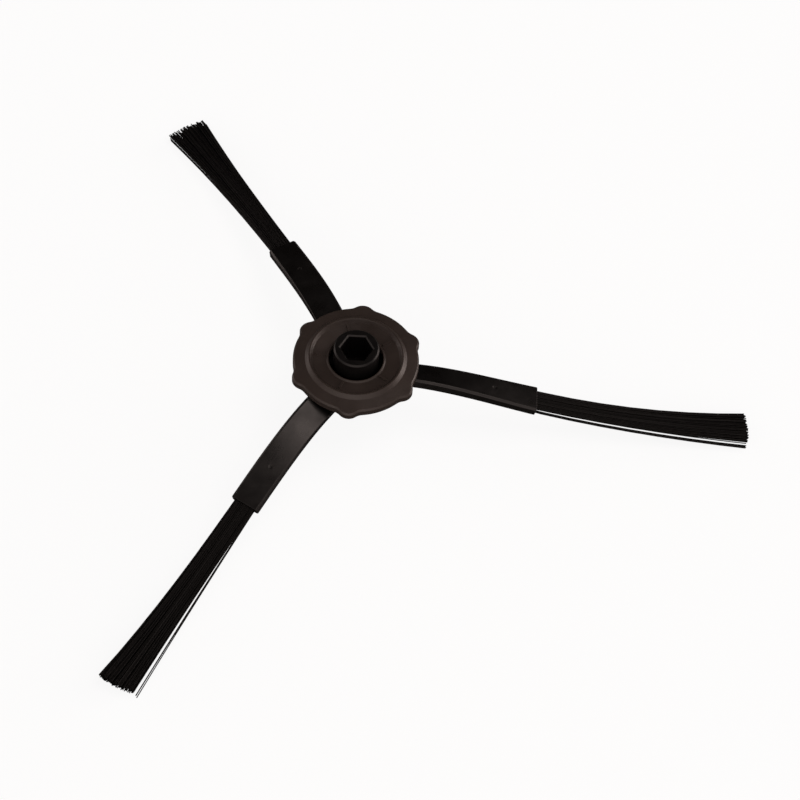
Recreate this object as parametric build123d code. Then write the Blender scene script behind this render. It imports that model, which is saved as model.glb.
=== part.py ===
"""Three-armed side brush of a floor-cleaning robot, modelled in millimetres.

The brush turns about +Z. The origin is the centre of the end face of its drive boss, which seats on the
robot, so the whole brush hangs below z = 0. Arm 1 leaves the hub along +X, and the others follow at equal
angles. Each arm is a hollow rubber sleeve that is clamped in the hub and holds a tuft of bristles.
"""
import os
from math import hypot, pi, radians, sin, tan
from random import Random

from build123d import *

# Drive boss and its hexagonal socket
BOSS_RADIUS = 5.15
BOSS_EDGE = 0.35
SOCKET_FLATS = 6.4
SOCKET_DEPTH = 8.4
SOCKET_LEAD_IN = 0.3
SOCKET_TURN = 5.0

# Heights of the hub, measured from the lip of the cover's hole
BOSS_RISE = 4.3
CREST_RISE = 1.25
DISH_RISE = 0.5
SHOULDER_RISE = 0.45
RIM_RISE = 0.05
PARTING_DROP = 1.7
HUB_DROP = 7.0

# Cover outline and relief
RIM_RADIUS = 14.2
LOBE_COUNT = 6
LOBE_REACH = 15.3
LOBE_RADIUS = 2.6
LOBE_BLEND = 3.0
RIM_EDGE = 0.35
HOLE_RADIUS = 6.2
LIP_WIDTH = 0.6
LIP_TOP_WIDTH = 0.2
LIP_HEIGHT = 0.35
CREST_RADIUS = 10.4
CREST_WIDTH = 0.3
DISH_RADIUS = 9.8
SHOULDER_RADIUS = 11.5
COVER_WALL = 1.3
SKIRT_WALL = 2.0
DISH_RIB_COUNT = 5
DISH_RIB_START = 37.5
DISH_RIB_INNER = 7.0
DISH_RIB_OUTER = 9.2
DISH_RIB_WIDTH = 0.5
DISH_RIB_HEIGHT = 0.35

# Base bowl
BOWL_RADIUS = 13.5
BOTTOM_RADIUS = 9.6
BOWL_WALL = 1.4
BOTTOM_EDGE = 0.8

# Weld pegs of the base, in blind sockets of the cover
PEG_LENGTH = 2.4
PEG_WIDTH = 2.0
PEG_CIRCLE = 10.0
PEG_FOOT = 1.1
PEG_RISE = 1.1
PEG_CLEARANCE = 0.05
PEG_SOCKET_WALL = 1.1
BASE_RIB_WIDTH = 1.4
BASE_RIB_STEP = 0.6

# Arm clamps in the hub
SEAT_INNER = 6.7
SEAT_WIDTH = 11.4
CLAMP_CLEARANCE = 0.05

# Arm centre line: where it leaves the hub, where the sleeve ends and where the bristles end
ARM_COUNT = 3
ARM_DROP = 3.7
BEND_RADIUS = 13.5
MOUTH_RADIUS = 41.3
MOUTH_DROP = 9.3
MOUTH_FALL = 14.6
TIP_RADIUS = 90.0
TIP_DROP = 17.5
TIP_SWEEP = 5.8
SWEEP_POWER = 1.75
ROOT_PITCH = -20.0
MOUTH_PITCH = -2.0
TIP_PITCH = -13.5

# Rubber sleeve
SLEEVE_WIDTH = 6.8
SLEEVE_THICKNESS = 2.4
SLEEVE_EDGE = 0.45
SLOT_WIDTH = 5.4
SLOT_THICKNESS = 1.6
SLOT_START = 19.0
ROOT_END = 13.4
SLEEVE_SECTIONS = 6
HEAD_START = 7.3
HEAD_LENGTH = 2.4
HEAD_WIDTH = 8.8
GATE_RADIUS = 31.5
GATE_MARK_RADIUS = 0.5
GATE_MARK_SIDES = 8
GATE_MARK_DEPTH = 0.12

# Bristle tuft
BRISTLE_SIZE = 0.3
BRISTLE_COLUMNS = 10
BRISTLE_LAYERS = 3
BRISTLE_RUNS = 3
BOND_END = 36.0
BOND_CLEARANCE = 0.05
TUFT_TIP_WIDTH = 9.6
TUFT_TIP_THICKNESS = 2.2
FAN_POWER = 1.5
LOW_LAYER_SAG = 1.1
SAG_WAVE = 0.7
TIP_RAGGED = 0.8
TIP_SCATTER = 0.14
BRISTLE_SEED = 3

# Levels that follow from the heights
LIP_Z = -BOSS_RISE
CREST_Z = LIP_Z + CREST_RISE
DISH_Z = LIP_Z + DISH_RISE
SHOULDER_Z = LIP_Z + SHOULDER_RISE
RIM_Z = LIP_Z + RIM_RISE
PARTING_Z = LIP_Z - PARTING_DROP
BOTTOM_Z = LIP_Z - HUB_DROP
FLOOR_Z = BOTTOM_Z + BOWL_WALL
ARM_Z = LIP_Z - ARM_DROP
MOUTH_Z = LIP_Z - MOUTH_DROP
TIP_Z = LIP_Z - TIP_DROP
ARM_STEP = 360 / ARM_COUNT
TALL = 4 * HUB_DROP


def blend(start, end, share):
    """The value that lies the given share of the way from start to end."""
    return start + (end - start) * share


def sleeve_height(radius):
    """Height of the sleeve's centre line: level in the hub, then bending down to its fall at the mouth."""
    if radius <= BEND_RADIUS:
        return ARM_Z
    length = MOUTH_RADIUS - BEND_RADIUS
    share = (radius - BEND_RADIUS) / length
    ease = share**2 * (3 - 2 * share)
    end_slope = share**2 * (share - 1)
    return blend(ARM_Z, MOUTH_Z, ease) - end_slope * length * tan(radians(MOUTH_FALL))


def tuft_height(radius):
    """Height of the tuft's centre line: it leaves the mouth at the sleeve's fall and levels out to the tip."""
    length = TIP_RADIUS - MOUTH_RADIUS
    share = (radius - MOUTH_RADIUS) / length
    straight_drop = length * tan(radians(MOUTH_FALL))
    levelling = TIP_Z - MOUTH_Z + straight_drop
    return MOUTH_Z - straight_drop * share + levelling * share**2


def arm_point(radius):
    """Point of arm 1's centre line at a distance from the hub's axis, measured along X."""
    beyond = max(radius - BEND_RADIUS, 0) / (TIP_RADIUS - BEND_RADIUS)
    height = sleeve_height(radius) if radius <= MOUTH_RADIUS else tuft_height(radius)
    return Vector(radius, TIP_SWEEP * beyond**SWEEP_POWER, height)


def arm_pitch(radius):
    """Turn of the arm's flat section about its centre line."""
    if radius <= MOUTH_RADIUS:
        share = max(radius - BEND_RADIUS, 0) / (MOUTH_RADIUS - BEND_RADIUS)
        return blend(ROOT_PITCH, MOUTH_PITCH, share)
    share = (radius - MOUTH_RADIUS) / (TIP_RADIUS - MOUTH_RADIUS)
    return blend(MOUTH_PITCH, TIP_PITCH, share)


def arm_frame(radius):
    """Plane across arm 1: X runs along the width of its section and Y through its thickness."""
    reach = 0.05
    along = (arm_point(radius + reach) - arm_point(radius - reach)).normalized()
    level = Vector(0, 0, 1).cross(along).normalized()
    across = level.rotate(Axis((0, 0, 0), tuple(along)), arm_pitch(radius))
    return Plane(origin=arm_point(radius), x_dir=across, z_dir=along)


def flat_section(width, thickness, edge=0):
    """Flat section of an arm, with bevelled corners where an edge is given."""
    section = Rectangle(width, thickness)
    return chamfer(section.vertices(), edge) if edge else section


def arm_solid(width, thickness, start, end, edge=0):
    """Solid with a flat section that follows the bent and twisted part of the arm."""
    stations = [blend(start, end, i / (SLEEVE_SECTIONS - 1)) for i in range(SLEEVE_SECTIONS)]
    return loft([arm_frame(r) * flat_section(width, thickness, edge) for r in stations])


def arm_root(clearance, end):
    """Straight root of an arm: the wide head that the hub clamps and the neck that leads out to end."""
    grow = 2 * clearance
    thickness = SLEEVE_THICKNESS + grow
    head_section = arm_frame(HEAD_START - clearance) * flat_section(HEAD_WIDTH + grow, thickness, SLEEVE_EDGE)
    neck_section = arm_frame(HEAD_START) * flat_section(SLEEVE_WIDTH + grow, thickness, SLEEVE_EDGE)
    return extrude(head_section, HEAD_LENGTH + grow) + extrude(neck_section, end - HEAD_START)


def round_arms(shape):
    """Copies of arm 1's shape at every arm."""
    return [Rot(0, 0, ARM_STEP * i) * shape for i in range(ARM_COUNT)]


def between_arms(shape):
    """Copies of a shape that lies on +X, midway between neighbouring arms."""
    return [Rot(0, 0, ARM_STEP * (i + 0.5)) * shape for i in range(ARM_COUNT)]


def disc(radius, bottom, top):
    """Upright cylinder on the hub's axis."""
    return Pos(0, 0, bottom) * extrude(Circle(radius), top - bottom)


def turned(*edges):
    """Solid of revolution about the hub's axis from the edges of a closed profile in the XZ plane."""
    return revolve(make_face(Wire(edges)), Axis.Z)


def ring_profile(*corners):
    """Straight edges through (radius, height) corners, as points of the XZ plane."""
    points = [Vector(r, 0, z) for r, z in corners]
    return [Line(a, b) for a, b in zip(points, points[1:])]


def lobed_outline():
    """Round rim with small rounded lobes, midway between the arms' directions and their opposites."""
    lobe = Circle(LOBE_RADIUS)
    turn = 360 / LOBE_COUNT
    outline = Circle(RIM_RADIUS)
    for i in range(LOBE_COUNT):
        outline += Rot(0, 0, turn * (i + 0.5)) * Pos(LOBE_REACH - LOBE_RADIUS, 0) * lobe
    return fillet(outline.vertices(), LOBE_BLEND)


def cover_top(lower, bottom):
    """Everything under the cover's relief, from a bottom height up to the relief lowered by an amount."""
    edge_radius = LOBE_REACH + RIM_EDGE
    fall = (SHOULDER_Z - RIM_Z) / (RIM_RADIUS - SHOULDER_RADIUS)
    edge_z = RIM_Z - fall * (edge_radius - RIM_RADIUS)
    relief = [
        (edge_radius, edge_z), (SHOULDER_RADIUS, SHOULDER_Z), (CREST_RADIUS + CREST_WIDTH, CREST_Z),
        (CREST_RADIUS, CREST_Z), (DISH_RADIUS, DISH_Z), (HOLE_RADIUS, LIP_Z), (0, LIP_Z),
    ]
    lowered = [(radius, height - lower) for radius, height in relief]
    return turned(*ring_profile((0, bottom), (edge_radius, bottom), *lowered, (0, bottom)))


def on_rim(point):
    """Whether a point lies on the upper edge of the cover's outline."""
    return hypot(point.X, point.Y) > RIM_RADIUS - RIM_EDGE and abs(point.Z - RIM_Z) < RIM_EDGE


def hole_lip():
    """Low ring with a sloping outside round the cover's hole, filled so that the hole can be cut through it."""
    bottom = LIP_Z - COVER_WALL / 2
    foot = HOLE_RADIUS + LIP_WIDTH
    corners = [(0, bottom), (foot, bottom), (foot, LIP_Z), (HOLE_RADIUS + LIP_TOP_WIDTH, LIP_Z + LIP_HEIGHT),
               (0, LIP_Z + LIP_HEIGHT)]
    return turned(*ring_profile(*corners, corners[0]))


def seat_block(bottom, top):
    """Block round the root of arm 1, from inside the head out past the rim."""
    length = 2 * RIM_RADIUS - SEAT_INNER
    footprint = Pos(SEAT_INNER + length / 2, 0) * Rectangle(length, SEAT_WIDTH)
    return Pos(0, 0, bottom) * extrude(footprint, top - bottom)


def peg(grow, bottom, top):
    """Upright weld peg on +X, grown by an amount on every side."""
    section = Rectangle(PEG_LENGTH + 2 * grow, PEG_WIDTH + 2 * grow)
    return Pos(PEG_CIRCLE, 0, bottom) * extrude(section, top - bottom)


def dish_ribs():
    """Thin radial ribs that stand a little above the dish."""
    length = DISH_RIB_OUTER - DISH_RIB_INNER
    bar = Pos((DISH_RIB_INNER + DISH_RIB_OUTER) / 2, 0, PARTING_Z) * extrude(
        Rectangle(length, DISH_RIB_WIDTH), TALL)
    turn = 360 / DISH_RIB_COUNT
    bars = [Rot(0, 0, DISH_RIB_START + turn * i) * bar for i in range(DISH_RIB_COUNT)]
    return Part() + bars & cover_top(-DISH_RIB_HEIGHT, LIP_Z)


def hub_cover():
    """Lobed cover with its relief, hollow below, with clamps for the arms and sockets for the pegs."""
    outline = Pos(0, 0, PARTING_Z) * extrude(lobed_outline(), TALL)
    skin = outline & cover_top(0, PARTING_Z)
    rim = skin.edges().filter_by(lambda edge: on_rim(edge.position_at(0.5)))
    skin = chamfer(rim, RIM_EDGE)
    core = disc(RIM_RADIUS - SKIRT_WALL, PARTING_Z, TALL) & cover_top(COVER_WALL, PARTING_Z)
    skin -= core
    fittings = round_arms(seat_block(PARTING_Z, CREST_Z)) + between_arms(
        peg(PEG_SOCKET_WALL, PARTING_Z, CREST_Z))
    skin += [fitting & core for fitting in fittings]
    skin += [hole_lip(), dish_ribs()]
    skin -= disc(HOLE_RADIUS, BOTTOM_Z, CREST_Z)
    skin -= between_arms(peg(PEG_CLEARANCE, PARTING_Z, PARTING_Z + PEG_RISE + PEG_CLEARANCE))
    return skin - round_arms(arm_root(CLAMP_CLEARANCE, 2 * RIM_RADIUS))


def bowl(inset, bottom):
    """Turned bowl below the parting plane, with its sloping side drawn in by an inset."""
    corners = [(0, bottom), (BOTTOM_RADIUS - inset, bottom), (BOWL_RADIUS - inset, PARTING_Z), (0, PARTING_Z)]
    return turned(*ring_profile(*corners, corners[0]))


def drive_socket():
    """Hexagonal socket that opens on the end face of the boss, with its lead-in."""
    hexagon = Rot(0, 0, SOCKET_TURN) * RegularPolygon(SOCKET_FLATS / 2, 6, major_radius=False)
    mouth = Rot(0, 0, SOCKET_TURN) * RegularPolygon(SOCKET_FLATS / 2 + SOCKET_LEAD_IN, 6, major_radius=False)
    lead_in = loft([Pos(0, 0, -SOCKET_LEAD_IN) * hexagon, mouth])
    return extrude(hexagon, -SOCKET_DEPTH) + lead_in


def hub_base():
    """Bowl with the drive boss, the arm seats, and the weld pegs on ribs."""
    outside = bowl(0, BOTTOM_Z)
    shell = chamfer(outside.edges().sort_by(Axis.Z)[0], BOTTOM_EDGE) - bowl(BOWL_WALL, FLOOR_Z)
    rib_top = PARTING_Z - BASE_RIB_STEP
    rib = Pos(PEG_CIRCLE / 2, 0, FLOOR_Z) * extrude(Rectangle(PEG_CIRCLE, BASE_RIB_WIDTH), rib_top - FLOOR_Z)
    shell += [seat & outside for seat in round_arms(seat_block(FLOOR_Z, PARTING_Z))]
    shell += between_arms(rib)
    shell += between_arms(peg(0, FLOOR_Z + PEG_FOOT, PARTING_Z + PEG_RISE))
    boss = disc(BOSS_RADIUS, FLOOR_Z, 0)
    boss = chamfer(boss.edges().sort_by(Axis.Z)[-1], BOSS_EDGE)
    shell = shell + boss - drive_socket()
    return shell - round_arms(arm_root(CLAMP_CLEARANCE, 2 * RIM_RADIUS))


def arm_sleeve():
    """Rubber sleeve of arm 1: clamped root, twisted hollow body and the gate mark on its upper face."""
    body = arm_root(0, ROOT_END) + arm_solid(
        SLEEVE_WIDTH, SLEEVE_THICKNESS, ROOT_END, MOUTH_RADIUS, SLEEVE_EDGE)
    body -= arm_solid(SLOT_WIDTH, SLOT_THICKNESS, SLOT_START, MOUTH_RADIUS)
    gate = arm_frame(GATE_RADIUS)
    gate_top = Plane(gate.origin + gate.y_dir * (SLEEVE_THICKNESS / 2 - GATE_MARK_DEPTH), gate.x_dir, gate.y_dir)
    return body - extrude(gate_top * RegularPolygon(GATE_MARK_RADIUS, GATE_MARK_SIDES), SLEEVE_THICKNESS)


def bristle(column, layer, chance):
    """One bristle: a square filament in straight runs, from inside the bond to its own ragged tip.

    Its sections all lie parallel to the sleeve's mouth, so that its sides are flat.
    """
    across = column / (BRISTLE_COLUMNS - 1) - 0.5
    upward = layer / (BRISTLE_LAYERS - 1) - 0.5
    tip = TIP_RADIUS - TIP_RAGGED * chance.random()
    scatter_x = TIP_SCATTER * chance.uniform(-1, 1)
    scatter_y = TIP_SCATTER * chance.uniform(-1, 1)
    sag = LOW_LAYER_SAG if layer == 0 else 0
    mouth = arm_frame(MOUTH_RADIUS)
    stations = [BOND_END - BRISTLE_SIZE] + [
        blend(MOUTH_RADIUS, tip, i / BRISTLE_RUNS) for i in range(BRISTLE_RUNS + 1)]
    sections = []
    for radius in stations:
        share = max(radius - MOUTH_RADIUS, 0) / (TIP_RADIUS - MOUTH_RADIUS)
        fan = share**FAN_POWER
        x = across * blend(SLOT_WIDTH - 2 * BRISTLE_SIZE, TUFT_TIP_WIDTH, fan) + scatter_x * share
        y = upward * blend(SLOT_THICKNESS - 1.5 * BRISTLE_SIZE, TUFT_TIP_THICKNESS, fan) + scatter_y * share
        y -= sag * sin(SAG_WAVE * pi * share)
        place = arm_frame(radius).from_local_coords(Vector(x, y, 0))
        sections.append(Plane(place, mouth.x_dir, mouth.z_dir) * Rectangle(BRISTLE_SIZE, BRISTLE_SIZE))
    return loft(sections, ruled=True)


def bristle_tuft():
    """Tuft of arm 1: bristles that leave a bonded root in the slot of the sleeve."""
    chance = Random(BRISTLE_SEED)
    bond = arm_solid(SLOT_WIDTH - 2 * BOND_CLEARANCE, SLOT_THICKNESS - 2 * BOND_CLEARANCE,
                     SLOT_START + BOND_CLEARANCE, BOND_END)
    places = [(column, layer) for column in range(BRISTLE_COLUMNS) for layer in range(BRISTLE_LAYERS)]
    return bond + [bristle(column, layer, chance) for column, layer in places]


def write_part(name, shape):
    """Write one piece to its own file."""
    export_step(shape, f"parts/{name}.step")


def main():
    os.makedirs("parts", exist_ok=True)
    write_part("hub_base", hub_base())
    write_part("hub_cover", hub_cover())
    for number, sleeve in enumerate(round_arms(arm_sleeve()), start=1):
        write_part(f"arm_sleeve_{number}", sleeve)
    for number, tuft in enumerate(round_arms(bristle_tuft()), start=1):
        write_part(f"bristle_tuft_{number}", tuft)


if __name__ == "__main__":
    main()
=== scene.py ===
"""Looks of a three-armed side brush, laid out as a Blender add-on and run as a script.

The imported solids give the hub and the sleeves. This file rounds their edges, gives them their finishes,
grows the bristle tufts with Geometry Nodes, and sets a plain studio round the brush.
"""
from collections import namedtuple
from functools import reduce
from math import cos, pi, radians, sin, tan

import bmesh
import bpy
from bpy.props import FloatProperty, FloatVectorProperty, IntProperty, IntVectorProperty, PointerProperty
from mathutils import Matrix, Vector


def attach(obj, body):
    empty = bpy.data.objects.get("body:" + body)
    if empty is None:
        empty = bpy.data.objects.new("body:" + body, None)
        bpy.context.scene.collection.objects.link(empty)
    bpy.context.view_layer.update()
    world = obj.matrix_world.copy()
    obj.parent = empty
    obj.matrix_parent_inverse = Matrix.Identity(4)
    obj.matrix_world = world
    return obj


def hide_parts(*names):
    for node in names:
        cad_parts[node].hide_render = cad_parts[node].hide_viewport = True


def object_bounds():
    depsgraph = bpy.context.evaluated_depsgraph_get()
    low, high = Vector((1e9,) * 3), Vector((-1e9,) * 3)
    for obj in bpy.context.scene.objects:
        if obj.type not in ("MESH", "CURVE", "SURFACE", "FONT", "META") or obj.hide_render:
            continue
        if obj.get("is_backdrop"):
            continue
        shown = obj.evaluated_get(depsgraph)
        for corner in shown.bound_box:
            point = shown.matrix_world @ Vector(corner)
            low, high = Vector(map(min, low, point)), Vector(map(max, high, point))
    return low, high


bl_info = {
    "name": "Side Brush",
    "version": (1, 0, 0),
    "blender": (4, 5, 0),
    "location": "3D View > Sidebar > Side Brush",
    "description": "Finishes, bristle tufts and studio for a three-armed side brush",
    "category": "Object",
}

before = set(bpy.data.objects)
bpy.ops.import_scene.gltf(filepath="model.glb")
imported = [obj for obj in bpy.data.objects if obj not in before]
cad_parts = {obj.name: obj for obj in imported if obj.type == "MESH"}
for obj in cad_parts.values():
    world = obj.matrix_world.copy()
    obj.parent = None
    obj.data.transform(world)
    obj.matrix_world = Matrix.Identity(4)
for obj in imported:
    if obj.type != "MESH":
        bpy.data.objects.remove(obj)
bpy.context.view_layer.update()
ARM_NUMBERS = (1, 2, 3)

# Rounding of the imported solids
MERGE_DISTANCE = 1e-6
FLAT_ANGLE = radians(0.5)
SHARP_ANGLE = radians(25)
EDGE_STEPS = 3
SHADING_WEIGHT = 50

# Noise in the finishes, with its scales in waves per metre
NOISE_LOW = 0.3
NOISE_HIGH = 0.7
PATCH_DETAIL = 3.0
GRAIN_DETAIL = 2.0
MOULDED_COLOUR_SCALE = 120
MOULDED_GLOSS_SCALE = 300
NYLON_COLOUR_SCALE = 900
NYLON_GLOSS_SCALE = 600

# How uneven the finishes are
MOULDED_COLOUR_CHANGE = 0.15
MOULDED_ROUGHNESS_CHANGE = 0.06
NYLON_COLOUR_CHANGE = 0.3
NYLON_ROUGHNESS_LOW = 0.35
NYLON_ROUGHNESS_HIGH = 0.55
NYLON_GLOSS = 0.2
GRAIN_STRENGTH = 0.25
GRAIN_DEPTH = 0.00002

# Bristles: steps along each, sides round each, and the spread of their places and of the loose ones
GUIDE_STEPS = 8
BRISTLE_SIDES = 5
PLACE_SPREAD = (0.05, 0.95)
LOOSE_SPREAD = (0.6, 1)

# Soft lights: where each stands as seen from the hub, and how fast it fades with the angle from there
FRONT_TOWARDS = (0, -0.95, 0.3)
FRONT_NARROWNESS = 2
RIGHT_TOWARDS = (0.91, 0.42, 0.05)
RIGHT_NARROWNESS = 12
LEFT_TOWARDS = (-0.97, 0.25, -0.05)
LEFT_NARROWNESS = 10

# Overhead light, floor and camera
KEY_PLACE = (0.3, 0.02, 0.73)
KEY_SIZE = 0.45
FLOOR_REACH = 3.0
SENSOR_WIDTH = 36
FRAME_PIXELS = 800
NEAREST_SEEN = 0.01

Settings = namedtuple("Settings", ("tuft", "colours", "edges", "studio"))


def number(name, description, default):
    """A plain number."""
    return FloatProperty(name=name, description=description, default=default)


def count(name, description, default):
    """A whole number of at least one."""
    return IntProperty(name=name, description=description, default=default, min=1)


def length(name, description, millimetres):
    """A length property whose default is given in millimetres."""
    return FloatProperty(
        name=name, description=description, default=millimetres / 1000, unit="LENGTH", precision=5)


def lengths(name, description, *millimetres):
    """A length for each tuft, with its defaults given in millimetres."""
    return FloatVectorProperty(
        name=name, description=description, default=[value / 1000 for value in millimetres],
        size=len(ARM_NUMBERS), unit="LENGTH", precision=5)


def numbers(name, description, *values):
    """A plain number for each tuft."""
    return FloatVectorProperty(
        name=name, description=description, default=values, size=len(ARM_NUMBERS), precision=4)


def angle(name, description, degrees):
    """An angle property whose default is given in degrees."""
    return FloatProperty(name=name, description=description, default=radians(degrees), subtype="ANGLE")


def share(name, description, default):
    """A plain number between nought and one."""
    return FloatProperty(name=name, description=description, default=default, min=0, max=1, subtype="FACTOR")


def colour(name, description, rgb):
    """A colour property in scene-linear values."""
    return FloatVectorProperty(
        name=name, description=description, default=rgb, size=3, min=0, max=1, subtype="COLOR")


class SideBrushTuft(bpy.types.PropertyGroup):
    """Sizes of the bristle tufts and of the arms that they follow."""
    bond_radius: length("Bond radius", "Distance from the axis at which the bristles leave their bond", 36.0)
    mouth_radius: length("Mouth radius", "Distance from the axis of the sleeve's mouth", 41.3)
    tip_radius: length("Tip radius", "Distance from the axis of the bristle tips", 90.7)
    bend_radius: length("Bend radius", "Distance from the axis at which the arm starts to bend", 13.5)
    mouth_height: length("Mouth height", "Height of the arm's centre line at the mouth", -13.6)
    tip_height: length("Tip height", "Height of the arm's centre line at the tips", -21.8)
    tip_sweep: length("Tip sweep", "Sideways offset of the centre line at the tips", 5.8)
    sweep_power: number("Sweep power", "How late the sideways sweep sets in", 1.75)
    mouth_fall: angle("Mouth fall", "Downward slope of the arm at the mouth", 14.6)
    mouth_pitch: angle("Mouth pitch", "Turn of the tuft's section at the mouth", -2.0)
    tip_pitch: angle("Tip pitch", "Turn of the tuft's section at the tips", -13.5)
    columns: count("Columns", "Bristles across the width of the tuft", 24)
    layers: count("Layers", "Bristles through the thickness of the tuft", 7)
    bristle_diameter: length("Bristle diameter", "Diameter of one bristle", 0.24)
    mouth_width: length("Mouth width", "Width of the tuft at the mouth", 4.8)
    mouth_thickness: length("Mouth thickness", "Thickness of the tuft at the mouth", 1.3)
    tip_width: lengths("Tip width", "Width of each tuft at the tips", 8.9, 9.4, 8.4)
    tip_thickness: length("Tip thickness", "Thickness of the tuft at the tips", 2.2)
    fan_power: number("Fan power", "How late the tuft fans out", 2.4)
    wander: length("Wander", "How far a bristle strays sideways on its way", 0.22)
    lean: lengths("Lean", "How far each whole tuft leans to its left at the tips", 0.1, 0.9, -1.3)
    ragged: share("Ragged", "How much shorter than their neighbours the tips may end", 0.007)
    crown: share("Crown", "How much shorter the outer bristles are cut than the middle ones", 0.007)
    slant: numbers("Slant", "How much shorter each tuft is cut on its left", -0.004, -0.022, 0.012)
    loose_side: numbers("Loose side", "Side with loose bristles, 1 for left and -1 for right", -1, 1, 1)
    loose_width: numbers("Loose width", "Share of the width of each tuft that is loose", 0.09, 0.06, 0.05)
    loose_layers: count("Loose layers", "Lowest layers that have loose bristles", 3)
    stand_off: lengths("Stand-off", "How far the loose bristles stand off to their side", 0.1, 0.4, 1.3)
    hang: lengths("Hang", "How far the loose bristles of each tuft hang", 1.2, 0.3, 0.3)
    loose_power: numbers("Loose power", "How late the loose bristles part from each tuft", 0.25, 0.3, 0.9)
    seed: IntVectorProperty(
        name="Seed", description="Seed of each tuft's random spread", default=(17, 27, 37))


class SideBrushColours(bpy.types.PropertyGroup):
    """Colours of the finishes, the floor and the light."""
    cover: colour("Cover", "Brown-grey plastic of the cover", (0.039, 0.0315, 0.0278))
    base: colour("Base", "Black plastic of the base and boss", (0.0035, 0.0034, 0.0034))
    rubber: colour("Rubber", "Black rubber of the sleeves", (0.0018, 0.0017, 0.0016))
    nylon: colour("Nylon", "Black nylon of the bristles", (0.0011, 0.001, 0.001))
    floor: colour("Floor", "Pale floor as the camera sees it", (0.84, 0.92, 0.95))
    bounce: colour("Bounce", "Floor as the brush reflects it", (0.12, 0.12, 0.12))
    sky: colour("Sky", "Warm light of the sky", (1.0, 0.84, 0.78))


class SideBrushEdges(bpy.types.PropertyGroup):
    """Radii of the rounded edges."""
    cover: length("Cover", "Rounding of the cover's edges", 0.22)
    base: length("Base", "Rounding of the base's edges", 0.1)
    sleeve: length("Sleeve", "Rounding of the sleeves' edges", 0.25)


class SideBrushStudio(bpy.types.PropertyGroup):
    """Camera and lights."""
    elevation: angle("Elevation", "Height of the camera above the level of the brush", 55.467)
    azimuth: angle("Azimuth", "Turn of the camera about the axis of the brush", 2.936)
    roll: angle("Roll", "Turn of the camera about its own axis", 4.594)
    distance: length("Distance", "Distance from the camera to the point that it looks at", 644.7)
    focal_pixels: number("Focal length", "Focal length in pixels of the picture", 2894.7)
    aim_x: length("Aim X", "Point that the camera looks at, across the picture", 10.6)
    aim_y: length("Aim Y", "Point that the camera looks at, into the picture", -10.23)
    aim_z: length("Aim Z", "Point that the camera looks at, upwards", -4.3)
    front_light: number("Front light", "Strength of the soft light in front", 1.35)
    right_light: number("Right light", "Strength of the soft light on the right", 5.2)
    left_light: number("Left light", "Strength of the soft light on the left", 2.4)
    fill_light: number("Fill light", "Strength of the light from everywhere else", 0.02)
    key_power: number("Key power", "Power of the overhead light in watts", 1.25)
    floor_glow: number("Floor glow", "Strength of the floor's own white", 1.1)
    floor_white: share("Floor white", "Share of the floor's own white in what the camera sees", 0.8)


def settings():
    """The scene's own copies of the property groups."""
    scene = bpy.context.scene
    return Settings(*(getattr(scene, name) for name in GROUPS))


def new_material(name):
    """An empty node material with its output."""
    material = bpy.data.materials.new(name)
    material.use_nodes = True
    tree = material.node_tree
    tree.nodes.clear()
    output = tree.nodes.new("ShaderNodeOutputMaterial")
    return material, tree, output.inputs["Surface"]


def solid_finish(name, gloss):
    """A material with a Principled shader of the given gloss."""
    material, tree, surface = new_material(name)
    shader = tree.nodes.new("ShaderNodeBsdfPrincipled")
    shader.inputs["Specular IOR Level"].default_value = gloss
    tree.links.new(shader.outputs["BSDF"], surface)
    return material, tree, shader


def noise_at(tree, scale, detail=PATCH_DETAIL):
    """A noise texture on Object coordinates."""
    coordinates = tree.nodes.new("ShaderNodeTexCoord")
    noise = tree.nodes.new("ShaderNodeTexNoise")
    noise.inputs["Scale"].default_value = scale
    noise.inputs["Detail"].default_value = detail
    tree.links.new(coordinates.outputs["Object"], noise.inputs["Vector"])
    return noise.outputs["Fac"]


def uneven_roughness(tree, shader, scale, low, high):
    """A roughness that varies between two values with noise."""
    ramp = tree.nodes.new("ShaderNodeMapRange")
    ramp.inputs["From Min"].default_value = NOISE_LOW
    ramp.inputs["From Max"].default_value = NOISE_HIGH
    ramp.inputs["To Min"].default_value = low
    ramp.inputs["To Max"].default_value = high
    tree.links.new(noise_at(tree, scale), ramp.inputs["Value"])
    tree.links.new(ramp.outputs["Result"], shader.inputs["Roughness"])


def uneven_colour(tree, shader, scale, rgb, change):
    """A colour that varies by a share of itself with noise."""
    ramp = tree.nodes.new("ShaderNodeValToRGB")
    low, high = ramp.color_ramp.elements
    low.position = NOISE_LOW
    low.color = [value * (1 - change) for value in rgb] + [1]
    high.position = NOISE_HIGH
    high.color = [value * (1 + change) for value in rgb] + [1]
    tree.links.new(noise_at(tree, scale), ramp.inputs["Fac"])
    tree.links.new(ramp.outputs["Color"], shader.inputs["Base Color"])


def grain(tree, shader, scale):
    """A fine moulded grain as bump."""
    bump = tree.nodes.new("ShaderNodeBump")
    bump.inputs["Strength"].default_value = GRAIN_STRENGTH
    bump.inputs["Distance"].default_value = GRAIN_DEPTH
    tree.links.new(noise_at(tree, scale, GRAIN_DETAIL), bump.inputs["Height"])
    tree.links.new(bump.outputs["Normal"], shader.inputs["Normal"])


def moulded_finish(name, rgb, roughness, gloss, grain_scale):
    """Moulded plastic or rubber: a slightly uneven colour and roughness over a fine grain."""
    material, tree, shader = solid_finish(name, gloss)
    uneven_colour(tree, shader, MOULDED_COLOUR_SCALE, rgb, MOULDED_COLOUR_CHANGE)
    uneven_roughness(tree, shader, MOULDED_GLOSS_SCALE,
                     roughness - MOULDED_ROUGHNESS_CHANGE, roughness + MOULDED_ROUGHNESS_CHANGE)
    grain(tree, shader, grain_scale)
    return material


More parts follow.
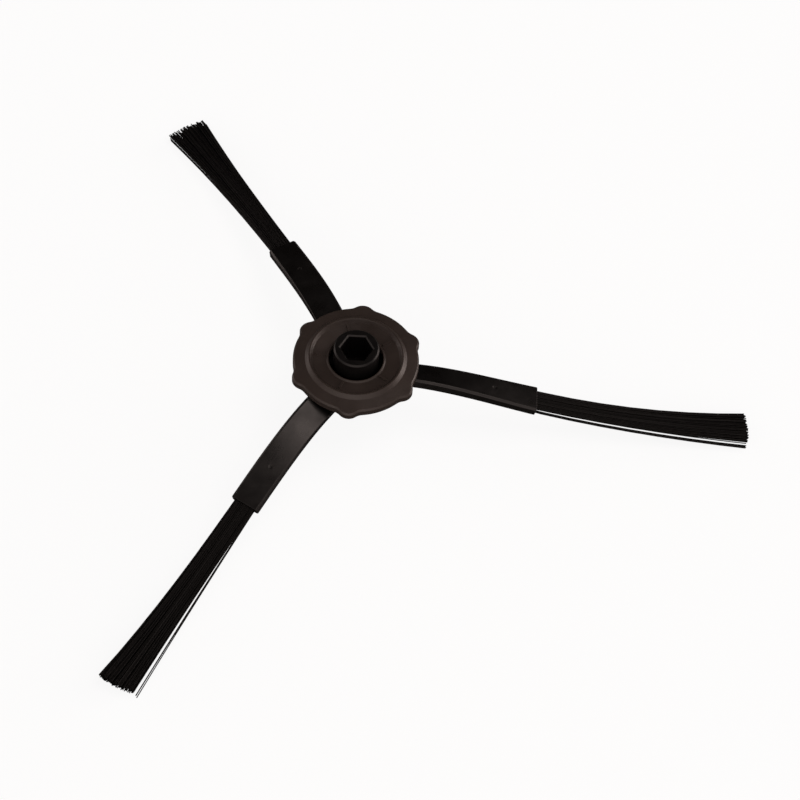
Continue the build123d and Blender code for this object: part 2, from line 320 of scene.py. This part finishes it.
def cover_plastic():
    """Satin brown-grey plastic of the cover."""
    rgb = settings().colours.cover
    return moulded_finish("cover_plastic", rgb, roughness=0.34, gloss=0.36, grain_scale=2500)


def base_plastic():
    """Satin black plastic of the base and its boss."""
    rgb = settings().colours.base
    return moulded_finish("base_plastic", rgb, roughness=0.36, gloss=0.29, grain_scale=2500)


def sleeve_rubber():
    """Satin black rubber of the sleeves."""
    rgb = settings().colours.rubber
    return moulded_finish("sleeve_rubber", rgb, roughness=0.31, gloss=0.5, grain_scale=3500)


def bristle_nylon():
    """Drawn black nylon, a little smoother along some bristles than along others."""
    material, tree, shader = solid_finish("bristle_nylon", NYLON_GLOSS)
    uneven_colour(tree, shader, NYLON_COLOUR_SCALE, settings().colours.nylon, NYLON_COLOUR_CHANGE)
    uneven_roughness(tree, shader, NYLON_GLOSS_SCALE, NYLON_ROUGHNESS_LOW, NYLON_ROUGHNESS_HIGH)
    return material


def merged_copy(node, name, join_flats):
    """A copy of a CAD node with its corners merged and, if asked, its flat areas joined."""
    shape = bmesh.new()
    shape.from_mesh(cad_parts[node].data)
    bmesh.ops.remove_doubles(shape, verts=shape.verts, dist=MERGE_DISTANCE)
    if join_flats:
        bmesh.ops.dissolve_limit(shape, angle_limit=FLAT_ANGLE, verts=shape.verts, edges=shape.edges)
        bmesh.ops.connect_verts_nonplanar(shape, angle_limit=FLAT_ANGLE, faces=shape.faces)
    mesh = bpy.data.meshes.new(name)
    shape.to_mesh(mesh)
    shape.free()
    mesh.shade_smooth()
    piece = bpy.data.objects.new(name, mesh)
    bpy.context.scene.collection.objects.link(piece)
    return piece


def rounded(node, edge, material, join_flats=True):
    """Replace a CAD node by a copy with rounded edges and a finish."""
    piece = merged_copy(node, f"{node}_rounded", join_flats)
    bevel = piece.modifiers.new("round edges", "BEVEL")
    bevel.width = edge
    bevel.segments = EDGE_STEPS
    bevel.limit_method = "ANGLE"
    bevel.angle_limit = SHARP_ANGLE
    piece.modifiers.new("even shading", "WEIGHTED_NORMAL").weight = SHADING_WEIGHT
    bpy.context.view_layer.update()
    finished = bpy.data.meshes.new_from_object(piece.evaluated_get(bpy.context.evaluated_depsgraph_get()))
    piece.modifiers.clear()
    piece.data = finished
    finished.materials.clear()
    finished.materials.append(material)
    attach(piece, "root")
    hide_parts(node)


def blend(start, end, part):
    """The value that lies the given part of the way from start to end."""
    return start + (end - start) * part


def tuft_point(sizes, radius):
    """Point of arm 1's centre line along the tuft."""
    span = sizes.tip_radius - sizes.mouth_radius
    part = (radius - sizes.mouth_radius) / span
    straight_drop = span * tan(sizes.mouth_fall)
    levelling = sizes.tip_height - sizes.mouth_height + straight_drop
    height = sizes.mouth_height - straight_drop * part + levelling * part * max(part, 0)
    beyond = (radius - sizes.bend_radius) / (sizes.tip_radius - sizes.bend_radius)
    return Vector((radius, sizes.tip_sweep * beyond**sizes.sweep_power, height))


def tuft_guide(sizes, arm):
    """Curve along the middle of a tuft, tilted as the tuft's section turns."""
    guide = bpy.data.curves.new(f"tuft_guide_{arm}", "CURVE")
    guide.dimensions = "3D"
    guide.twist_mode = "Z_UP"
    spline = guide.splines.new("POLY")
    spline.points.add(GUIDE_STEPS)
    turn = Matrix.Rotation(2 * pi * (arm - 1) / len(ARM_NUMBERS), 3, "Z")
    for i, point in enumerate(spline.points):
        radius = blend(sizes.bond_radius, sizes.tip_radius, i / GUIDE_STEPS)
        part = max(radius - sizes.mouth_radius, 0) / (sizes.tip_radius - sizes.mouth_radius)
        point.co = (*(turn @ tuft_point(sizes, radius)), 1)
        point.tilt = blend(sizes.mouth_pitch, sizes.tip_pitch, part)
    piece = bpy.data.objects.new(f"tuft_guide_{arm}", guide)
    bpy.context.scene.collection.objects.link(piece)
    return piece


TUFT_INPUTS = {
    "NodeSocketInt": ("columns", "layers", "loose_layers", "seed"),
    "NodeSocketFloat": (
        "bristle_diameter", "mouth_width", "mouth_thickness", "tip_width", "tip_thickness", "fan_power",
        "wander", "lean", "ragged", "crown", "slant", "loose_side", "loose_width", "stand_off", "hang",
        "loose_power",
    ),
    "NodeSocketMaterial": ("material",),
}


class TuftTree:
    """Geometry Nodes tree that copies a guide for each bristle, fans the copies out and thickens them."""

    def __init__(self):
        self.tree = bpy.data.node_groups.new("bristle_tuft", "GeometryNodeTree")
        sockets = self.tree.interface
        sockets.new_socket("Geometry", in_out="INPUT", socket_type="NodeSocketGeometry")
        sockets.new_socket("Geometry", in_out="OUTPUT", socket_type="NodeSocketGeometry")
        self.identifiers = {
            name: sockets.new_socket(name, in_out="INPUT", socket_type=kind).identifier
            for kind, names in TUFT_INPUTS.items() for name in names}
        self.given = self.tree.nodes.new("NodeGroupInput").outputs
        self.draws = 0
        self.grow()

    def node(self, kind, **values):
        """Add a node, set its inputs by name and return it."""
        node = self.tree.nodes.new(kind)
        for name, value in values.items():
            self.feed(node.inputs[name.replace("_", " ")], value)
        return node

    def feed(self, socket, value):
        """Set a socket to a plain value, or join it to another node's output."""
        if isinstance(value, bpy.types.NodeSocket):
            self.tree.links.new(value, socket)
        else:
            socket.default_value = value

    def math(self, operation, *terms):
        """A sum, product or other operation, taken from the left where there are more than two values."""
        def pair(first, second):
            node = self.tree.nodes.new("ShaderNodeMath")
            node.operation = operation
            self.feed(node.inputs[0], first)
            self.feed(node.inputs[1], second)
            return node.outputs["Value"]
        return reduce(pair, terms)

    def vector(self, operation, first, second):
        """An operation on two vectors, or on a vector and a scale."""
        node = self.tree.nodes.new("ShaderNodeVectorMath")
        node.operation = operation
        self.feed(node.inputs[0], first)
        self.feed(node.inputs["Scale" if operation == "SCALE" else 1], second)
        return node.outputs["Vector"]

    def between(self, start, end, part):
        """The value that lies the given part of the way from start to end."""
        return self.math("ADD", start, self.math("MULTIPLY", self.math("SUBTRACT", end, start), part))

    def chance(self, low, high):
        """A random value for each bristle."""
        node = self.tree.nodes.new("FunctionNodeRandomValue")
        node.data_type = "FLOAT"
        limits = {socket.name: socket for socket in node.inputs if socket.enabled}
        limits["Min"].default_value = low
        limits["Max"].default_value = high
        self.feed(limits["ID"], self.index)
        self.feed(limits["Seed"], self.math("ADD", self.given["seed"], self.draws))
        self.draws += 1
        return next(socket for socket in node.outputs if socket.enabled)

    def copies(self):
        """A copy of the guide for each bristle."""
        node = self.tree.nodes.new("GeometryNodeDuplicateElements")
        node.domain = "SPLINE"
        self.feed(node.inputs["Geometry"], self.given["Geometry"])
        self.feed(node.inputs["Amount"], self.math("MULTIPLY", self.given["columns"], self.given["layers"]))
        self.index = node.outputs["Duplicate Index"]
        return node.outputs["Geometry"]

    def places(self):
        """Where each bristle stands in the tuft's section, from -0.5 to 0.5 across and upward."""
        columns = self.given["columns"]
        column = self.math("ADD", self.math("MODULO", self.index, columns), self.chance(*PLACE_SPREAD))
        self.layer = self.math("FLOOR", self.math("DIVIDE", self.index, columns))
        layer = self.math("ADD", self.layer, self.chance(*PLACE_SPREAD))
        across = self.math("SUBTRACT", self.math("DIVIDE", column, columns), 0.5)
        upward = self.math("SUBTRACT", self.math("DIVIDE", layer, self.given["layers"]), 0.5)
        return across, upward

    def looseness(self, across):
        """How far each bristle has parted from the tuft, as a share: nought for all but the loose ones."""
        edge = self.math("SUBTRACT", 0.5, self.given["loose_width"])
        outer = self.math("GREATER_THAN", self.math("MULTIPLY", across, self.given["loose_side"]), edge)
        low = self.math("LESS_THAN", self.layer, self.given["loose_layers"])
        parting = self.math("POWER", self.along, self.given["loose_power"])
        return self.math("MULTIPLY", outer, low, parting, self.chance(*LOOSE_SPREAD))

    def offsets(self, across, upward):
        """How far each bristle lies to the left of the guide and above it."""
        fan = self.math("POWER", self.along, self.given["fan_power"])
        loose = self.looseness(across)
        width = self.between(self.given["mouth_width"], self.given["tip_width"], fan)
        thickness = self.between(self.given["mouth_thickness"], self.given["tip_thickness"], fan)
        stray = self.math("MULTIPLY", self.given["wander"], fan)
        left = self.math(
            "ADD", self.math("MULTIPLY", across, width), self.math("MULTIPLY", stray, self.chance(-1, 1)),
            self.math("MULTIPLY", loose, self.given["loose_side"], self.given["stand_off"]),
            self.math("MULTIPLY", self.given["lean"], fan))
        above = self.math("ADD", self.math("MULTIPLY", upward, thickness),
                          self.math("MULTIPLY", stray, self.chance(-1, 1)))
        return left, self.math("SUBTRACT", above, self.math("MULTIPLY", loose, self.given["hang"]))

    def moved(self, curves, left, above):
        """The copies moved sideways and upward in the section of the guide."""
        normal = self.node("GeometryNodeInputNormal").outputs["Normal"]
        forward = self.node("GeometryNodeInputTangent").outputs["Tangent"]
        up = self.vector("CROSS_PRODUCT", normal, forward)
        sideways = self.vector("CROSS_PRODUCT", up, forward)
        offset = self.vector("ADD", self.vector("SCALE", sideways, left), self.vector("SCALE", up, above))
        return self.node("GeometryNodeSetPosition", Geometry=curves, Offset=offset).outputs["Geometry"]

    def trimmed(self, curves, across):
        """The bristles cut to length: a little ragged, shorter at the corners and slanted to one side."""
        slant = self.given["slant"]
        # Four times the square of the place across is one at either side of the tuft
        crown = self.math("MULTIPLY", self.given["crown"], 4.0, across, across)
        ragged = self.math("MULTIPLY", self.given["ragged"], self.chance(0, 1))
        left_cut = self.math("MULTIPLY", slant, self.math("ADD", across, 0.5))
        right_cut = self.math("MULTIPLY", slant, self.math("SUBTRACT", across, 0.5))
        end = self.math("SUBTRACT", 1.0, ragged, crown, self.math("MAXIMUM", left_cut, right_cut))
        return self.node("GeometryNodeTrimCurve", Curve=curves, End=end).outputs["Curve"]

    def grow(self):
        """Join the steps from the guide to the finished bristles."""
        self.along = self.node("GeometryNodeSplineParameter").outputs["Factor"]
        curves = self.copies()
        across, upward = self.places()
        curves = self.moved(curves, *self.offsets(across, upward))
        radius = self.math("MULTIPLY", self.given["bristle_diameter"], 0.5)
        circle = self.node("GeometryNodeCurvePrimitiveCircle", Resolution=BRISTLE_SIDES, Radius=radius)
        tubes = self.node("GeometryNodeCurveToMesh", Curve=self.trimmed(curves, across),
                          Profile_Curve=circle.outputs["Curve"], Fill_Caps=True)
        real = self.node("GeometryNodeRealizeInstances", Geometry=tubes.outputs["Mesh"])
        smooth = self.node("GeometryNodeSetShadeSmooth", Geometry=real.outputs["Geometry"])
        finished = self.node("GeometryNodeSetMaterial", Geometry=smooth.outputs["Geometry"],
                             Material=self.given["material"])
        output = self.tree.nodes.new("NodeGroupOutput")
        self.feed(output.inputs["Geometry"], finished.outputs["Geometry"])


def own_value(sizes, name, arm):
    """A tuft's own value of a setting that is either shared or given for each tuft."""
    value = getattr(sizes, name)
    return value[arm - 1] if hasattr(value, "__len__") else value


def grow_tuft(arm, tuft, material):
    """Grow one tuft along its guide and keep it as a plain mesh."""
    sizes = settings().tuft
    guide = tuft_guide(sizes, arm)
    modifier = guide.modifiers.new("bristles", "NODES")
    modifier.node_group = tuft.tree
    for name, identifier in tuft.identifiers.items():
        modifier[identifier] = material if name == "material" else own_value(sizes, name, arm)
    bpy.context.view_layer.update()
    grown = guide.evaluated_get(bpy.context.evaluated_depsgraph_get())
    mesh = bpy.data.meshes.new_from_object(grown)
    bpy.data.objects.remove(guide)
    if not mesh.polygons:
        raise RuntimeError(f"tuft {arm} has no bristles")
    piece = bpy.data.objects.new(f"bristles_{arm}", mesh)
    bpy.context.scene.collection.objects.link(piece)
    return piece


class SIDEBRUSH_OT_hub(bpy.types.Operator):
    """Finish the hub's base and cover"""
    bl_idname = "side_brush.hub"
    bl_label = "Hub"

    def execute(self, context):
        edges = settings().edges
        rounded("hub_base", edges.base, base_plastic())
        rounded("hub_cover", edges.cover, cover_plastic())
        return {"FINISHED"}


class SIDEBRUSH_OT_sleeves(bpy.types.Operator):
    """Finish the rubber sleeves"""
    bl_idname = "side_brush.sleeves"
    bl_label = "Sleeves"

    def execute(self, context):
        edge = settings().edges.sleeve
        rubber = sleeve_rubber()
        for arm in ARM_NUMBERS:
            rounded(f"arm_sleeve_{arm}", edge, rubber, join_flats=False)
        return {"FINISHED"}


class SIDEBRUSH_OT_tufts(bpy.types.Operator):
    """Grow the bristle tufts"""
    bl_idname = "side_brush.tufts"
    bl_label = "Bristle tufts"

    def execute(self, context):
        tuft = TuftTree()
        nylon = bristle_nylon()
        for arm in ARM_NUMBERS:
            piece = grow_tuft(arm, tuft, nylon)
            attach(piece, "root")
            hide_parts(f"bristle_tuft_{arm}")
        return {"FINISHED"}


def matt(tree, rgb):
    """A plain matt shader."""
    shader = tree.nodes.new("ShaderNodeBsdfDiffuse")
    shader.inputs["Color"].default_value = (*rgb, 1)
    return shader.outputs["BSDF"]


def mixed(tree, first, second):
    """A mix of two shaders, with the socket for the share of the second."""
    mix = tree.nodes.new("ShaderNodeMixShader")
    tree.links.new(first, mix.inputs[1])
    tree.links.new(second, mix.inputs[2])
    return mix.outputs["Shader"], mix.inputs["Fac"]


def camera_only(tree, plain, seen):
    """One shader for the camera's own view and another for all other light."""
    shader, chosen = mixed(tree, plain, seen)
    tree.links.new(tree.nodes.new("ShaderNodeLightPath").outputs["Is Camera Ray"], chosen)
    return shader


def clear_from_below(tree, above):
    """A shader that is seen from above alone."""
    clear = tree.nodes.new("ShaderNodeBsdfTransparent")
    shader, chosen = mixed(tree, above, clear.outputs["BSDF"])
    tree.links.new(tree.nodes.new("ShaderNodeNewGeometry").outputs["Backfacing"], chosen)
    return shader


def floor_material():
    """Pale floor that the camera sees as near white, with the brush's soft shadow kept."""
    colours = settings().colours
    studio = settings().studio
    material, tree, surface = new_material("pale_floor")
    glow = tree.nodes.new("ShaderNodeEmission")
    glow.inputs["Strength"].default_value = studio.floor_glow
    seen, white = mixed(tree, matt(tree, colours.floor), glow.outputs["Emission"])
    white.default_value = studio.floor_white
    above = camera_only(tree, matt(tree, colours.bounce), seen)
    tree.links.new(clear_from_below(tree, above), surface)
    return material


def add_floor():
    """Flat floor that the lowest bristle tips touch."""
    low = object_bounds()[0][2]
    sides = ((-1, -1), (1, -1), (1, 1), (-1, 1))
    corners = [(x * FLOOR_REACH, y * FLOOR_REACH, low) for x, y in sides]
    mesh = bpy.data.meshes.new("floor")
    mesh.from_pydata(corners, [], [range(len(corners))])
    mesh.materials.append(floor_material())
    floor = bpy.data.objects.new("floor", mesh)
    bpy.context.scene.collection.objects.link(floor)
    floor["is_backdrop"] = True


def node_math(tree, operation, value, other):
    """A Math node on a socket and either a plain number or another socket."""
    node = tree.nodes.new("ShaderNodeMath")
    node.operation = operation
    tree.links.new(value, node.inputs[0])
    if isinstance(other, bpy.types.NodeSocket):
        tree.links.new(other, node.inputs[1])
    else:
        node.inputs[1].default_value = other
    return node.outputs["Value"]


def soft_light(tree, direction, towards, narrowness, strength):
    """Strength of a soft light in the sky, which fades with the angle from where it stands."""
    facing = tree.nodes.new("ShaderNodeVectorMath")
    facing.operation = "DOT_PRODUCT"
    facing.inputs[1].default_value = Vector(towards).normalized()
    tree.links.new(direction, facing.inputs[0])
    above_nought = node_math(tree, "MAXIMUM", facing.outputs["Value"], 0.0)
    return node_math(tree, "MULTIPLY", node_math(tree, "POWER", above_nought, narrowness), strength)


def sky_strength(tree):
    """Strength of the sky: a broad light in front, a narrower one on each side and little elsewhere."""
    studio = settings().studio
    direction = tree.nodes.new("ShaderNodeTexCoord").outputs["Generated"]
    front = soft_light(tree, direction, FRONT_TOWARDS, FRONT_NARROWNESS, studio.front_light)
    right = soft_light(tree, direction, RIGHT_TOWARDS, RIGHT_NARROWNESS, studio.right_light)
    left = soft_light(tree, direction, LEFT_TOWARDS, LEFT_NARROWNESS, studio.left_light)
    sides = node_math(tree, "ADD", right, left)
    return node_math(tree, "ADD", node_math(tree, "ADD", front, sides), studio.fill_light)


def add_world():
    """White world for the camera, and a sky of soft lights for the brush."""
    world = bpy.data.worlds.new("studio")
    bpy.context.scene.world = world
    world.use_nodes = True
    tree = world.node_tree
    tree.nodes.clear()
    light = tree.nodes.new("ShaderNodeBackground")
    light.inputs["Color"].default_value = (*settings().colours.sky, 1)
    tree.links.new(sky_strength(tree), light.inputs["Strength"])
    white = tree.nodes.new("ShaderNodeBackground")
    white.inputs["Color"].default_value = (1, 1, 1, 1)
    shader = camera_only(tree, light.outputs["Background"], white.outputs["Background"])
    tree.links.new(shader, tree.nodes.new("ShaderNodeOutputWorld").inputs["Surface"])


def add_key_light():
    """Soft square light above the brush that faces the hub."""
    lamp = bpy.data.lights.new("key", "AREA")
    lamp.size = KEY_SIZE
    lamp.energy = settings().studio.key_power
    lamp.color = settings().colours.sky
    light = bpy.data.objects.new("key", lamp)
    light.location = KEY_PLACE
    light.rotation_euler = (-Vector(KEY_PLACE)).to_track_quat("-Z", "Y").to_euler()
    bpy.context.scene.collection.objects.link(light)


def add_camera():
    """Camera at the photo's angle, aimed so that the brush sits in the frame as in the photo."""
    studio = settings().studio
    turn = Matrix.Rotation(studio.azimuth, 3, "Z")
    back = turn @ Vector((0, -cos(studio.elevation), sin(studio.elevation)))
    level = turn @ Vector((1, 0, 0))
    upward = back.cross(level)
    right = level * cos(studio.roll) + upward * sin(studio.roll)
    top = upward * cos(studio.roll) - level * sin(studio.roll)
    aim = turn @ Vector((studio.aim_x, studio.aim_y, 0)) + Vector((0, 0, studio.aim_z))
    lens = bpy.data.cameras.new("camera")
    lens.sensor_width = SENSOR_WIDTH
    lens.lens = SENSOR_WIDTH * studio.focal_pixels / FRAME_PIXELS
    lens.clip_start = NEAREST_SEEN
    camera = bpy.data.objects.new("camera", lens)
    axes = Matrix((right, top, back)).transposed().to_4x4()
    camera.matrix_world = Matrix.Translation(aim + back * studio.distance) @ axes
    bpy.context.scene.collection.objects.link(camera)
    bpy.context.scene.camera = camera


class SIDEBRUSH_OT_stage(bpy.types.Operator):
    """Set the floor, the lights and the camera"""
    bl_idname = "side_brush.stage"
    bl_label = "Stage"

    def execute(self, context):
        add_floor()
        add_world()
        add_key_light()
        add_camera()
        context.scene.view_settings.view_transform = "Standard"
        return {"FINISHED"}


class SIDEBRUSH_PT_panel(bpy.types.Panel):
    """Lists the steps that finish the brush, and their settings"""
    bl_idname = "SIDEBRUSH_PT_panel"
    bl_label = "Side Brush"
    bl_space_type = "VIEW_3D"
    bl_region_type = "UI"
    bl_category = "Side Brush"

    def draw(self, context):
        for step in STEPS:
            self.layout.operator(step.bl_idname)
        for group in settings():
            for name in group.__annotations__:
                self.layout.prop(group, name)


STEPS = (SIDEBRUSH_OT_hub, SIDEBRUSH_OT_sleeves, SIDEBRUSH_OT_tufts, SIDEBRUSH_OT_stage)
GROUPS = {
    "side_brush_tuft": SideBrushTuft,
    "side_brush_colours": SideBrushColours,
    "side_brush_edges": SideBrushEdges,
    "side_brush_studio": SideBrushStudio,
}


def register():
    for name, group in GROUPS.items():
        bpy.utils.register_class(group)
        setattr(bpy.types.Scene, name, PointerProperty(type=group))
    for item in (*STEPS, SIDEBRUSH_PT_panel):
        bpy.utils.register_class(item)


def unregister():
    for item in (SIDEBRUSH_PT_panel, *reversed(STEPS)):
        bpy.utils.unregister_class(item)
    for name, group in reversed(GROUPS.items()):
        delattr(bpy.types.Scene, name)
        bpy.utils.unregister_class(group)


def main():
    register()
    bpy.ops.side_brush.hub()
    bpy.ops.side_brush.sleeves()
    bpy.ops.side_brush.tufts()
    bpy.ops.side_brush.stage()


if __name__ == "__main__":
    main()
